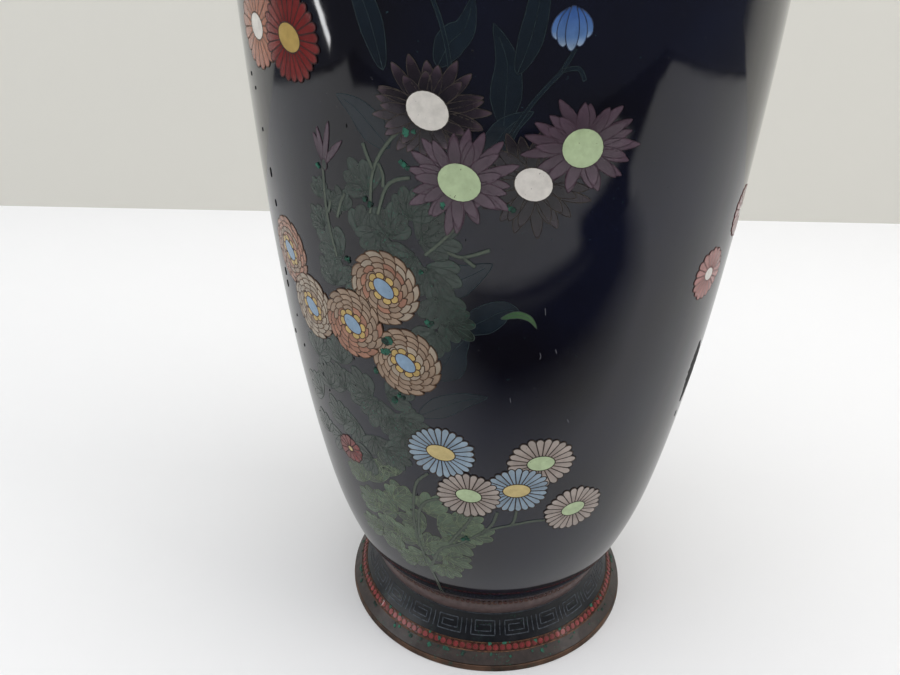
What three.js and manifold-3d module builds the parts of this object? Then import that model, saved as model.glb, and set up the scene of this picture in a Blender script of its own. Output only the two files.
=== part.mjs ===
// Cloisonne vase: a copper vessel on a flared copper foot, covered outside with
// bands and flower cells of enamel, and inside and underneath with counter-enamel.
// Millimetres, +Z up. The origin is the centre of the circle that the foot rests on,
// and the flowers' azimuth is 0 towards -Y and grows towards +X.

import * as THREE from 'three';
import { mergeVertices } from 'three/addons/utils/BufferGeometryUtils.js';
import Module from 'manifold-3d';

const wasm = await Module();
wasm.setup();

// ---- driving dimensions ----------------------------------------------------

const TURNED_SIDES = 36;
const LIP_STEPS = 4;
const FINE_STEPS = 300;
const MERGE_DISTANCE = 1e-4;

const ENAMEL = 1.2; // enamel over the body and neck
const FOOT_ENAMEL = 0.8;
const COPPER = 1.0; // vessel wall
const COUNTER_ENAMEL = 0.5;
const FIT = 0.2; // between layers of the wall
const SEAM = 0.25; // between neighbouring cells and bands, the thickness of a wire

const CELL_DEPTH = 0.7; // enamel in a flower cell
const POCKET_DEPTH = 0.9; // recess in the ground enamel that holds the cell

const FOOT_EDGE = { radius: 28, top: 1.1, lean: 0.15, width: 2.6 };
const GREEN_BAND = { bottom: [27.75, 1.35], top: [26.3, 2.95] };
const BEAD_BAND = { bottom: [26.1, 3.1], top: [25.3, 4.05] };
const FRET_BAND = { bottom: [25.1, 4.25], middle: [23.6, 6.3], top: [22.65, 8.55] };
const FOOT_HOLLOW = { bottom: [23.6, 2.95], middle: [21.4, 5.9] };
const WAIST_COLLAR = { radius: 22.6, bulge: 0.6, bottom: 8.8, top: 12.05 };

const BODY_BOTTOM = 12.4;
const FLOOR = { bottom: 10.6, radius: 20.6, waist: 21.5, thickness: 1.0 };
const BASE_DISC = { radius: 20, bottom: 9.6, thickness: 0.8 };
// Turn from floor to wall, [radius, height]: copper outside and inside, then the lining.
const COPPER_TURN = { outside: [21.8, BODY_BOTTOM], inside: [20.6, 13.4], floor: 19.8 };
const LINING_TURN = { outside: [20.2, 13.5], inside: [19.5, 13.9], floorOutside: 19.4, floorInside: 18.6 };

const NECK_BOTTOM = 158;
const NECK_TOP = 181.6;
const VASE_HEIGHT = 184;
const LIP = { radius: 21.6, roundness: 1.1, bore: 18.4 };

// Finished outer surface of the body and of the neck, [radius, height] from below up.
const BODY_OUTLINE = [
  [23.5, 12.4], [26.8, 17.9], [30.5, 29.1], [33.8, 46], [36.5, 66],
  [38.6, 92], [39.5, 119], [37.6, 136], [31.5, 148], [23.8, 154.6], [18.9, 157.5],
];
const NECK_OUTLINE = [
  [18.6, 158], [16.7, 163], [16.2, 168.5], [17.1, 174.5], [19.2, 179], [20.8, 181.6],
];
const BODY_STEPS = 14;
const NECK_STEPS = 6;
const NECK_BAND_STEP = 4;

const NECK_COLLAR_TOP = 161.2;
const NECK_FRET_TOP = 175.4;
const NECK_BEAD_TOP = 177.2;

// ---- colours ---------------------------------------------------------------

const COLOURS = {
  copper: 0x8a5a44,
  ground: 0x14141f,
  fret: 0x1b1c26,
  green: 0x323c34,
  beads: 0xaa3732,
  collar: 0x826969,
  counter: 0x3f6f78,
  blue: 0x6e91b4,
  cream: 0xb2a296,
  mum: 0xb99176,
  aster: 0x5a3e50,
  bell: 0x4b69af,
  red: 0x732620,
  orange: 0xa56950,
  pink: 0x966462,
  leaf: 0x3c4841,
  blade: 0x1c2834,
};

function metal() {
  return new THREE.MeshStandardMaterial({ color: COLOURS.copper, roughness: 0.45, metalness: 0.9 });
}

function enamel(colour) {
  return new THREE.MeshStandardMaterial({ color: colour, roughness: 0.12, metalness: 0 });
}

// ---- turned pieces ---------------------------------------------------------

const vase = new THREE.Group();

function addPiece(name, geometry, material) {
  const mesh = new THREE.Mesh(geometry, material);
  mesh.name = name;
  vase.add(mesh);
}

// Closed section, [radius, height] points running up the outside and down the inside.
function turned(section) {
  const profile = [...section, section[0]].map(([radius, height]) => new THREE.Vector2(radius, height));
  return new THREE.LatheGeometry(profile, TURNED_SIDES).rotateX(Math.PI / 2);
}

function outline(points, steps) {
  const curve = new THREE.SplineCurve(points.map(([radius, height]) => new THREE.Vector2(radius, height)));
  return curve.getPoints(steps).map((point) => [point.x, point.y]);
}

// The same outline moved inwards by a depth, square to the surface. Its two ends
// keep their height, so that layers end level with each other.
function inset(points, depth) {
  const last = points.length - 1;
  return points.map(([radius, height], i) => {
    const before = points[Math.max(i - 1, 0)];
    const after = points[Math.min(i + 1, last)];
    const run = new THREE.Vector2(after[0] - before[0], after[1] - before[1]).normalize();
    if (i === 0 || i === last) return [radius - depth / run.y, height];
    return [radius - depth * run.y, height + depth * run.x];
  });
}

function shell(points, outerDepth, innerDepth) {
  return turned([...inset(points, outerDepth), ...inset(points, innerDepth).reverse()]);
}

const bodyOutline = outline(BODY_OUTLINE, BODY_STEPS);
const neckOutline = outline(NECK_OUTLINE, NECK_STEPS);

// The part of the neck between two heights, ending half a seam short of each.
function neckBand(bottom, top) {
  const fine = outline(NECK_OUTLINE, FINE_STEPS / 5);
  const low = bottom + SEAM / 2;
  const high = top - SEAM / 2;
  const inside = fine.filter(([, height]) => height >= low && height <= high);
  const count = Math.max(1, Math.round((high - low) / NECK_BAND_STEP));
  const stride = (inside.length - 1) / count;
  return Array.from({ length: count + 1 }, (_, i) => inside[Math.round(i * stride)]);
}

function addVessel() {
  const wallOuter = inset(bodyOutline, ENAMEL + FIT).slice(1);
  const wallInner = inset(bodyOutline, ENAMEL + FIT + COPPER).slice(1).reverse();
  const floorTop = FLOOR.bottom + FLOOR.thickness;
  addPiece('copper_body', turned([
    [0, FLOOR.bottom],
    [FLOOR.radius, FLOOR.bottom],
    [FLOOR.waist, floorTop],
    COPPER_TURN.outside,
    ...wallOuter,
    ...wallInner,
    COPPER_TURN.inside,
    [COPPER_TURN.floor, floorTop],
    [0, floorTop],
  ]), metal());
}

function addNeck() {
  addPiece('copper_neck', shell(neckOutline, ENAMEL + FIT, ENAMEL + FIT + COPPER), metal());
}

// Counter-enamel lines the vessel and the neck, and covers the floor.
function addLining() {
  const depth = ENAMEL + COPPER + 2 * FIT;
  const floorTop = FLOOR.bottom + FLOOR.thickness + FIT;
  const bodyOuter = inset(bodyOutline, depth).slice(1);
  const bodyInner = inset(bodyOutline, depth + COUNTER_ENAMEL).slice(1).reverse();
  addPiece('interior_counter_enamel', turned([
    [0, floorTop],
    [LINING_TURN.floorOutside, floorTop],
    LINING_TURN.outside,
    ...bodyOuter,
    ...bodyInner,
    LINING_TURN.inside,
    [LINING_TURN.floorInside, floorTop + COUNTER_ENAMEL],
    [0, floorTop + COUNTER_ENAMEL],
  ]), enamel(COLOURS.counter));
  const neckLining = shell(neckOutline, depth, depth + COUNTER_ENAMEL);
  addPiece('neck_counter_enamel', neckLining, enamel(COLOURS.counter));
}

function addNeckBands() {
  const bands = [
    ['neck_collar_enamel', NECK_BOTTOM, NECK_COLLAR_TOP, COLOURS.collar],
    ['neck_fret_enamel', NECK_COLLAR_TOP, NECK_FRET_TOP, COLOURS.fret],
    ['neck_bead_enamel', NECK_FRET_TOP, NECK_BEAD_TOP, COLOURS.beads],
    ['neck_green_enamel', NECK_BEAD_TOP, NECK_TOP, COLOURS.green],
  ];
  for (const [name, bottom, top, colour] of bands) {
    addPiece(name, shell(neckBand(bottom, top), 0, ENAMEL), enamel(colour));
  }
}

// Rounded copper ring that caps the ends of the neck's copper and enamel.
function addLipRim() {
  const base = VASE_HEIGHT - LIP.roundness * 2;
  const middle = (LIP.radius + LIP.bore) / 2;
  const arc = Array.from({ length: LIP_STEPS + 1 }, (_, i) => {
    const angle = (i * Math.PI) / LIP_STEPS;
    return [
      middle + (LIP.radius - middle) * Math.cos(angle),
      VASE_HEIGHT - LIP.roundness + LIP.roundness * Math.sin(angle),
    ];
  });
  addPiece('lip_rim', turned([[LIP.radius, base], ...arc, [LIP.bore, base]]), metal());
}

function addFoot() {
  const { radius, top, lean, width } = FOOT_EDGE;
  const under = FOOT_ENAMEL + FIT;
  const bands = [GREEN_BAND.bottom, GREEN_BAND.top, BEAD_BAND.top, FRET_BAND.middle, FRET_BAND.top];
  const seat = inset(bands, under);
  const collarUnderside = WAIST_COLLAR.radius - under;
  const ringTop = FLOOR.bottom - FIT;
  const bore = BASE_DISC.radius + FIT;
  addPiece('foot_ring', turned([
    [radius - width, 0],
    [radius, 0],
    [radius - lean, top],
    [seat[0][0], top],
    ...seat.slice(1, 4),
    [collarUnderside, FRET_BAND.top[1]],
    [collarUnderside, ringTop],
    [bore, ringTop],
    [bore, FRET_BAND.top[1]],
    FOOT_HOLLOW.middle,
    FOOT_HOLLOW.bottom,
  ]), metal());
}

function addFootBands() {
  const bands = [
    ['foot_green_enamel', [GREEN_BAND.bottom, GREEN_BAND.top], COLOURS.green],
    ['foot_bead_enamel', [BEAD_BAND.bottom, BEAD_BAND.top], COLOURS.beads],
    ['foot_fret_enamel', [FRET_BAND.bottom, FRET_BAND.middle, FRET_BAND.top], COLOURS.fret],
  ];
  for (const [name, edge, colour] of bands) {
    addPiece(name, shell(edge, 0, FOOT_ENAMEL), enamel(colour));
  }
  const { radius, bulge, bottom, top } = WAIST_COLLAR;
  addPiece('waist_collar_enamel', turned([
    [radius, bottom],
    [radius + bulge, (bottom + top) / 2],
    [radius + bulge, top],
    [radius - FOOT_ENAMEL, top],
    [radius - FOOT_ENAMEL, bottom],
  ]), enamel(COLOURS.collar));
}

function addBaseDisc() {
  const { radius, bottom, thickness } = BASE_DISC;
  addPiece('base_counter_enamel', turned([
    [0, bottom],
    [radius, bottom],
    [radius, bottom + thickness],
    [0, bottom + thickness],
  ]), enamel(COLOURS.counter));
}

// ---- cells let into the ground enamel ----------------------------------------

const finishedBody = outline(BODY_OUTLINE, FINE_STEPS);

function bodyRadius(height) {
  const above = finishedBody.findIndex(([, level]) => level > height);
  const [lowRadius, low] = finishedBody[above - 1];
  const [highRadius, high] = finishedBody[above];
  return THREE.MathUtils.mapLinear(height, low, high, lowRadius, highRadius);
}

function onBody(azimuth, height, depth) {
  const angle = THREE.MathUtils.degToRad(azimuth);
  const radius = bodyRadius(height) - depth;
  return new THREE.Vector3(radius * Math.sin(angle), -radius * Math.cos(angle), height);
}

// Moves a flat drawing, millimetres across and up, onto the body around a centre.
function wrapped([across, up], centre, depth) {
  const [azimuth, height] = centre;
  const turn = THREE.MathUtils.radToDeg(across / bodyRadius(height));
  const slope = (bodyRadius(height + 1) - bodyRadius(height - 1)) / 2;
  return onBody(azimuth + turn, height + up / Math.hypot(1, slope), depth);
}

// Closed plate over a drawing that can be seen whole from its own middle point.
function plate(drawing, centre, outerDepth, innerDepth) {
  const count = drawing.length;
  const points = [];
  for (const depth of [outerDepth, innerDepth]) {
    points.push(...drawing.map((point) => wrapped(point, centre, depth)));
  }
  points.push(wrapped([0, 0], centre, outerDepth), wrapped([0, 0], centre, innerDepth));
  const outerHub = 2 * count;
  const innerHub = outerHub + 1;
  const faces = [];
  for (let i = 0; i < count; i += 1) {
    const next = (i + 1) % count;
    faces.push(outerHub, i, next);
    faces.push(innerHub, count + next, count + i);
    faces.push(i, count + i, next);
    faces.push(next, count + i, count + next);
  }
  const geometry = new THREE.BufferGeometry().setFromPoints(points);
  geometry.setIndex(faces);
  return geometry;
}

function toSolid(geometry) {
  const bare = geometry.clone();
  bare.deleteAttribute('normal');
  bare.deleteAttribute('uv');
  const merged = mergeVertices(bare, MERGE_DISTANCE);
  const index = Array.from(merged.index.array);
  const triangles = [];
  for (let i = 0; i < index.length; i += 3) {
    const [a, b, c] = index.slice(i, i + 3);
    if (a !== b && b !== c && c !== a) triangles.push(a, b, c);
  }
  return new wasm.Manifold(new wasm.Mesh({
    numProp: 3,
    vertProperties: Float32Array.from(merged.attributes.position.array),
    triVerts: Uint32Array.from(triangles),
  }));
}

function toGeometry(solid) {
  const mesh = solid.getMesh();
  const geometry = new THREE.BufferGeometry();
  geometry.setAttribute('position', new THREE.BufferAttribute(mesh.vertProperties, 3));
  geometry.setIndex(new THREE.BufferAttribute(mesh.triVerts, 1));
  geometry.computeVertexNormals();
  return geometry;
}

// Flower outline: one long point at each petal's tip and one short at each notch.
function flowerDrawing(petals, width, height, notch) {
  return Array.from({ length: petals * 2 }, (_, i) => {
    const angle = (i * Math.PI) / petals;
    const reach = i % 2 === 0 ? 1 : notch;
    return [width * reach * Math.cos(angle), height * reach * Math.sin(angle)];
  });
}

// Leaf outline: pointed at both ends, along a direction given in degrees.
function leafDrawing(length, width, direction) {
  const turn = THREE.MathUtils.degToRad(direction);
  const edge = [[-1, 0], [-0.5, -0.8], [0, -1], [0.5, -0.75], [1, 0], [0.5, 0.75], [0, 1], [-0.5, 0.8]];
  return edge.map(([along, across]) => {
    const x = (along * length) / 2;
    const y = (across * width) / 2;
    return [x * Math.cos(turn) - y * Math.sin(turn), x * Math.sin(turn) + y * Math.cos(turn)];
  });
}

function grown(drawing, margin) {
  return drawing.map(([across, up]) => {
    const reach = Math.hypot(across, up);
    return [across * (1 + margin / reach), up * (1 + margin / reach)];
  });
}

const daisy = (radius) => flowerDrawing(12, radius, radius, 0.9);
const mum = (radius) => flowerDrawing(12, radius, radius, 0.88);
const aster = (width, height) => flowerDrawing(10, width, height, 0.72);
const bell = (radius) => flowerDrawing(5, radius, radius, 0.7);

// [name, centre azimuth and height, drawing, colour], those on top first.
const CELLS = [
  ['cream_daisy_left', [-5, 43.5], daisy(4.8), COLOURS.cream],
  ['blue_daisy_left', [-11.8, 51.4], daisy(5), COLOURS.blue],
  ['blue_daisy_right', [7.2, 44.9], daisy(4.8), COLOURS.blue],
  ['cream_daisy_middle', [12.5, 50.2], daisy(5), COLOURS.cream],
  ['cream_daisy_right', [23.8, 39.5], daisy(4.8), COLOURS.cream],
  ['chrysanthemum_middle', [-31.7, 70.3], mum(5.2), COLOURS.mum],
  ['chrysanthemum_lower', [-18.9, 66.2], mum(5.2), COLOURS.mum],
  ['chrysanthemum_upper', [-22.7, 77], mum(5.2), COLOURS.mum],
  ['chrysanthemum_left', [-45.5, 70.3], mum(5), COLOURS.mum],
  ['chrysanthemum_far_left', [-52.5, 77.7], mum(5), COLOURS.mum],
  ['aster_centre', [-7, 92], aster(7, 5.6), COLOURS.aster],
  ['aster_upper_left', [-12.4, 99.9], aster(7.2, 6), COLOURS.aster],
  ['aster_right', [13.6, 96.1], aster(7, 6), COLOURS.aster],
  ['aster_lower_right', [5.7, 92], aster(7, 6), COLOURS.aster],
  ['aster_bud', [-34, 94.6], leafDrawing(6.5, 3.6, 70), COLOURS.aster],
  ['bellflower_right', [10.1, 108.5], bell(2.4), COLOURS.bell],
  ['bellflower_left', [-15.4, 113.5], bell(2.6), COLOURS.bell],
  ['red_daisy', [-40.7, 106.5], flowerDrawing(12, 5.8, 5, 0.88), COLOURS.red],
  ['orange_daisy', [-52.5, 107.6], flowerDrawing(12, 5.4, 5, 0.88), COLOURS.orange],
  ['pink_daisy_front', [52.6, 76.1], daisy(4), COLOURS.pink],
  ['pink_daisy_back', [67, 83.2], daisy(4), COLOURS.pink],
  ['red_blossom', [-41, 45.6], daisy(2.6), COLOURS.red],
  ['long_leaf_low', [-8.2, 60.3], leafDrawing(11, 3, 17), COLOURS.blade],
  ['long_leaf_middle', [-1, 74.6], leafDrawing(11, 3.4, 22), COLOURS.blade],
  ['long_leaf_broad', [-8.6, 68], leafDrawing(7.4, 5, 45), COLOURS.blade],
  ['long_leaf_rising', [-5.6, 79.4], leafDrawing(7, 4, 25), COLOURS.blade],
  ['long_leaf_tall', [0.4, 103.9], leafDrawing(9.6, 3, 80), COLOURS.blade],
  ['long_leaf_upper_left', [-24.4, 98.4], leafDrawing(8.4, 3, -38), COLOURS.blade],
  ['green_leaf_upper', [-30.5, 83.6], leafDrawing(7, 5, 30), COLOURS.leaf],
  ['green_leaf_left', [-34, 52.6], leafDrawing(9, 6, 60), COLOURS.leaf],
  ['green_leaf_low_left', [-23, 35.6], leafDrawing(9, 5, 40), COLOURS.leaf],
  ['green_leaf_low_right', [-9, 32], leafDrawing(9, 5.4, -25), COLOURS.leaf],
];

// Each cell is cut back by the cells over it, and the ground by all of them.
function addGroundAndCells() {
  let ground = toSolid(shell(bodyOutline, 0, ENAMEL));
  let cover = null;
  for (const [name, centre, drawing, colour] of CELLS) {
    let cell = toSolid(plate(drawing, centre, 0, CELL_DEPTH));
    if (cover) cell = cell.subtract(cover);
    const pocket = toSolid(plate(grown(drawing, SEAM), centre, -1, POCKET_DEPTH));
    cover = cover ? cover.add(pocket) : pocket;
    addPiece(name, toGeometry(cell), enamel(colour));
  }
  ground = ground.subtract(cover);
  addPiece('ground_enamel', toGeometry(ground), enamel(COLOURS.ground));
}

addFoot();
addFootBands();
addBaseDisc();
addVessel();
addLining();
addGroundAndCells();
addNeck();
addNeckBands();
addLipRim();

export default vase;
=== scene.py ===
"""Cloisonne vase: turned shells, enamel cells and bent wires laid on the CAD frame."""

import math
import random

import bpy
import numpy as np
from mathutils import Matrix


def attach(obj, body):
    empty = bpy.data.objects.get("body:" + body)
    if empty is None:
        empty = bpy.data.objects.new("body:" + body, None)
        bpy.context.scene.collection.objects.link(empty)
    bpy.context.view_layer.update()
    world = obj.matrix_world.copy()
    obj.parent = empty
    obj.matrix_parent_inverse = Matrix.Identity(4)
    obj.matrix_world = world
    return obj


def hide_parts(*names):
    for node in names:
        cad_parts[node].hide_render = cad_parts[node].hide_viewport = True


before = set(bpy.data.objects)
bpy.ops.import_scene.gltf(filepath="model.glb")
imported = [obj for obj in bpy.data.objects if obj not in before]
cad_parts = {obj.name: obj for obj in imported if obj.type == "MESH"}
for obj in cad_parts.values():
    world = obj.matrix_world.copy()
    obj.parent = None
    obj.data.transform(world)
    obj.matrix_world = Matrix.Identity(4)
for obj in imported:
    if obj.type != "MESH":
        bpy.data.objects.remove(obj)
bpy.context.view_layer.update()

MM = 0.001
SIDES = 256
rng = random.Random(7)

# ---- outlines, in millimetres: [radius, height] from below up ----

BODY_OUTLINE = [
    (23.5, 12.4), (26.8, 17.9), (30.5, 29.1), (33.8, 46), (36.5, 66),
    (38.6, 92), (39.5, 119), (37.6, 136), (31.5, 148), (23.8, 154.6), (18.9, 157.5),
]
NECK_OUTLINE = [(18.6, 158), (16.7, 163), (16.2, 168.5), (17.1, 174.5), (19.2, 179), (20.8, 181.6)]
NECK_BANDS = {"collar": (158, 161.2), "fret": (161.2, 175.4), "bead": (175.4, 177.2), "green": (177.2, 181.6)}

VASE_HEIGHT = 184
ENAMEL = 1.2
FOOT_ENAMEL = 0.8
COPPER = 1.0
LINING = 0.5
FIT = 0.2
SEAM = 0.25

FOOT_RADIUS = 28
FOOT_EDGE_TOP = 1.1
GREEN_BAND = [(27.75, 1.35), (26.3, 2.95)]
BEAD_BAND = [(26.1, 3.1), (25.3, 4.05)]
FRET_BAND = [(25.1, 4.25), (23.6, 6.3), (22.65, 8.55)]
WAIST = [(22.6, 8.8), (22.85, 9.2), (23.15, 10), (23.3, 10.9), (23.25, 11.6), (23.1, 12.05)]
FLOOR_BOTTOM = 10.6
FOOT_INSIDE = 25.4
RING_OUTSIDE = 21.6
RING_BORE = 20.2
RING_SHOULDER = 8.55
LIP_RADIUS = 20
LIP_HALF = 1.6
LIP_ROUND = 1.1

WIRE = 0.17
MUM_WIRE = 0.15
FINE_WIRE = 0.1
LOBE_RIB = 0.09
BLADE_RIB = 0.08
LOBE_SPREAD = 1.25
CELL_PROUD = 0.02
LAYER = 0.005
THIN_END = 0.04
FRET_PROUD = 0.05
AXIS = 1e-6


def spline(points, steps):
    """Catmull-Rom curve through the points, its end points used twice."""
    points = np.array(points, float)
    last = len(points) - 1
    curve = []
    for position in np.linspace(0, last, steps):
        i = min(int(position), last - 1)
        t = position - i
        before, start, end, after = (points[min(max(k, 0), last)] for k in (i - 1, i, i + 1, i + 2))
        leave = (end - before) / 2
        arrive = (after - start) / 2
        cubic = 2 * start - 2 * end + leave + arrive
        square = 3 * end - 3 * start - 2 * leave - arrive
        curve.append(cubic * t**3 + square * t**2 + leave * t + start)
    return np.array(curve)


def unit(vectors):
    """The rows, each scaled to length one."""
    return vectors / np.maximum(np.linalg.norm(vectors, axis=1), 1e-9)[:, None]


def inset(outline, depth):
    """The outline moved inwards, square to itself, its two ends kept at their height."""
    outline = np.array(outline, float)
    run = unit(np.gradient(outline, axis=0))
    moved = np.stack([outline[:, 0] - depth * run[:, 1], outline[:, 1] + depth * run[:, 0]], 1)
    for end in (0, -1):
        moved[end] = (outline[end, 0] - depth / run[end, 1], outline[end, 1])
    return moved


class Surface:
    """A turned surface, measured by azimuth and by length along its outline."""

    def __init__(self, outline):
        self.outline = np.array(outline, float)
        steps = np.linalg.norm(np.diff(self.outline, axis=0), axis=1)
        self.length = np.concatenate([[0], np.cumsum(steps)])
        tangent = unit(np.gradient(self.outline, self.length, axis=0))
        self.normal = np.stack([tangent[:, 1], -tangent[:, 0]], 1)

    def along(self, height):
        return np.interp(height, self.outline[:, 1], self.length)

    def radius(self, length):
        return np.interp(length, self.length, self.outline[:, 0])

    def place(self, turn, length, proud):
        """Points and outward normals at azimuths in radians and lengths in millimetres."""
        out = np.interp(length, self.length, self.normal[:, 0])
        up = np.interp(length, self.length, self.normal[:, 1])
        size = np.hypot(out, up)
        out, up = out / size, up / size
        radius = self.radius(length) + proud * out
        height = np.interp(length, self.length, self.outline[:, 1]) + proud * up
        around = np.sin(turn), -np.cos(turn)
        points = np.stack([radius * around[0], radius * around[1], height], -1)
        normals = np.stack([out * around[0], out * around[1], up], -1)
        return points, normals


body = Surface(spline(BODY_OUTLINE, 400))
neck = Surface(spline(NECK_OUTLINE, 120))
foot_fret = Surface(spline(FRET_BAND, 30))
foot_beads = Surface(BEAD_BAND)
foot_slope = Surface([*GREEN_BAND, *BEAD_BAND, FRET_BAND[0]])
waist = Surface([(22.6, 8.5), *WAIST, (23.4, 12.45), (23.9, 12.9)])


# ---- making meshes ----

def add(name, data):
    """Puts a mesh, light or camera in the scene."""
    item = bpy.data.objects.new(name, data)
    bpy.context.scene.collection.objects.link(item)
    return item


def mesh_of(name, points, faces):
    mesh = bpy.data.meshes.new(name)
    mesh.from_pydata(points, [], faces)
    return mesh


def link(name, mesh, materials, slot, *nodes):
    """Adds the mesh as one piece of the object, standing for these CAD nodes."""
    piece = add(name, mesh)
    for material in materials:
        mesh.materials.append(material)
    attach(piece, "root")
    if nodes:
        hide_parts(*nodes)
    return piece


def turned(name, section, material, slot, *nodes, sharp=35):
    """Closed ring or cup from a section, [radius, height] up the outside and down the inside."""
    section = np.array(section, float)
    on_axis = section[:, 0] < AXIS
    verts = []
    rows = []
    for (radius, height), axis in zip(section, on_axis):
        if axis:
            rows.append([len(verts)] * SIDES)
            verts.append((0, 0, height * MM))
            continue
        rows.append(list(range(len(verts), len(verts) + SIDES)))
        for k in range(SIDES):
            turn = 2 * math.pi * k / SIDES
            verts.append((radius * math.sin(turn) * MM, -radius * math.cos(turn) * MM, height * MM))
    faces = []
    for i, low in enumerate(rows):
        j = (i + 1) % len(rows)
        if on_axis[i] and on_axis[j]:
            continue
        high = rows[j]
        for k in range(SIDES):
            n = (k + 1) % SIDES
            faces.append(list(dict.fromkeys([low[k], low[n], high[n], high[k]])))
    mesh = mesh_of(name, verts, faces)
    mesh.shade_smooth()
    mesh.set_sharp_from_angle(angle=math.radians(sharp))
    return link(name, mesh, [material], slot, *nodes)


def rounded(section, bevel):
    """The closed section with each sharp corner cut to a small arc."""
    section = [np.array(point, float) for point in section]
    out = []
    for i, point in enumerate(section):
        before, after = section[i - 1], section[(i + 1) % len(section)]
        into, away = before - point, after - point
        short = min(np.linalg.norm(into), np.linalg.norm(away))
        into, away = unit(np.stack([into, away]))
        nearly_straight = np.dot(into, away) < -0.85
        if point[0] < AXIS or nearly_straight or short < 2.2 * bevel:
            out.append(point)
            continue
        start = point + into * bevel
        end = point + away * bevel
        for t in (0, 0.25, 0.5, 0.75, 1):
            out.append((1 - t) ** 2 * start + 2 * t * (1 - t) * point + t * t * end)
    return out


def shell(outline, outer, inner):
    return np.concatenate([inset(outline, outer), inset(outline, inner)[::-1]])


def quads(first, second):
    """Faces between two rows of points of equal length."""
    return np.stack([first[:-1], second[:-1], second[1:], first[1:]], -1)


class Relief:
    """Thin closed plates on a surface. Drawings are in millimetres across and up from a centre.

    With even, a drawing keeps its angle round the axis at every height, as a border does.
    """

    def __init__(self, surface, centre, even=False):
        self.surface = surface
        self.even = even
        azimuth, height = centre
        self.turn = math.radians(azimuth)
        self.length = float(surface.along(height))
        self.count = 0
        self.points, self.normals, self.faces, self.sides, self.slots = [], [], [], [], []
        self.tone, self.reach = [], []

    def local(self, azimuth, height):
        """Where a place on the surface falls in this drawing."""
        length = self.surface.along(height)
        return (math.radians(azimuth) - self.turn) * self.surface.radius(length), length - self.length

    def grid(self, drawing, proud, slot=0, tone=0.5, loop=False, depth=0.15):
        """A plate over a grid of points, rows by columns. With loop, the last row joins the first."""
        drawing = np.array(drawing, float)
        rows, columns = drawing.shape[:2]
        length = self.length + drawing[..., 1]
        radius = self.surface.radius(self.length if self.even else length)
        turn = self.turn + drawing[..., 0] / radius
        for level in (proud, -depth):
            points, normals = self.surface.place(turn, length, level)
            self.points.append(points.reshape(-1, 3))
            self.normals.append(normals.reshape(-1, 3))
            self.tone += [tone] * (rows * columns)
            self.reach += list(np.repeat(np.linspace(0, 1, rows), columns))
        top = self.count + np.arange(rows * columns).reshape(rows, columns)
        if loop:
            top = np.vstack([top, top[:1]])
        low = top + rows * columns
        self.count += 2 * rows * columns
        faces = [
            (1, np.concatenate([quads(*pair) for pair in zip(top[:-1], top[1:])])),
            (-1, np.concatenate([quads(*pair) for pair in zip(low[:-1], low[1:])])[:, ::-1]),
            (0, quads(top[:, 0], low[:, 0])),
            (0, quads(top[:, -1], low[:, -1])[:, ::-1]),
        ]
        if not loop:
            faces += [(0, quads(top[0], low[0])[:, ::-1]), (0, quads(top[-1], low[-1]))]
        middle = rows // 2
        across = drawing[middle, -1] - drawing[middle, 0]
        forward = drawing[middle, 0] - drawing[middle - 1, 0]
        mirrored = forward[0] * across[1] - forward[1] * across[0] < 0
        for side, block in faces:
            self.faces.append(block[:, ::-1] if mirrored else block)
            self.sides += [side] * len(block)
            self.slots += [slot] * len(block)

    def wire(self, path, proud, width=WIRE, loop=False):
        """A bent strip along a path, seen from its edge."""
        height = np.broadcast_to(np.reshape(proud, (-1, 1)), (len(path), 2))
        self.grid(ribbon(path, width / 2, columns=2, loop=loop), height, loop=loop)

    def make(self, name, materials, slot, *nodes):
        points = np.concatenate(self.points) * MM
        faces = np.concatenate(self.faces)
        mesh = mesh_of(name, points.tolist(), faces.tolist())
        for label, values in (("tone", self.tone), ("reach", self.reach)):
            mesh.attributes.new(label, "FLOAT", "POINT").data.foreach_set("value", values)
        mesh.polygons.foreach_set("material_index", self.slots)
        mesh.shade_smooth()
        flat = np.zeros(len(faces) * 3, np.float32)
        mesh.polygons.foreach_get("normal", flat)
        side = np.repeat(self.sides, 4)[:, None]
        curved = np.concatenate(self.normals)[faces.ravel()] * side
        loops = np.where(side == 0, np.repeat(flat.reshape(-1, 3), 4, 0), curved)
        mesh.normals_split_custom_set(loops.tolist())
        return link(name, mesh, materials, slot, *nodes)


# ---- drawing petals, leaves and stems ----

def round_end(s, widest):
    """Half width past the widest place, closing like half an ellipse."""
    return math.sqrt(1 - ((s - widest) / (1 - widest)) ** 2)


def widening(first, widest):
    """Profile that widens evenly from its first half width, then ends round."""
    def profile(s):
        if s < widest:
            return first + (1 - first) * s / widest
        return round_end(s, widest)
    return profile


daisy_petal = widening(0.283, 0.8)
leaf_lobe = widening(0.55, 0.6)


def aster_petal(s):
    """Half width of an aster's petal: fullest near its middle, with a pointed end."""
    return (0.5 + 1.5 * s) * (1 - s) ** 0.7 * 1.05


def scale_petal(s):
    """Half width of a chrysanthemum's petal: a lens."""
    return math.sin(math.pi * s) ** 0.9


def bell_petal(s, widest=0.65):
    """Half width of a bellflower's petal: narrow where it starts, full, then rounded."""
    if s < widest:
        return 0.3 + 0.7 * math.sin(math.pi / 2 * s / widest)
    return round_end(s, widest)


def blade(s):
    """Half width of a long leaf: a rounded foot and a long point."""
    return min(1.0, (s / 0.28) ** 0.6) * (1 - max(0.0, (s - 0.35) / 0.65) ** 1.7)


def turned_by(points, angle):
    cosine, sine = math.cos(angle), math.sin(angle)
    points = np.array(points, float)
    across, up = points[..., 0], points[..., 1]
    return np.stack([across * cosine - up * sine, across * sine + up * cosine], -1)


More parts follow.
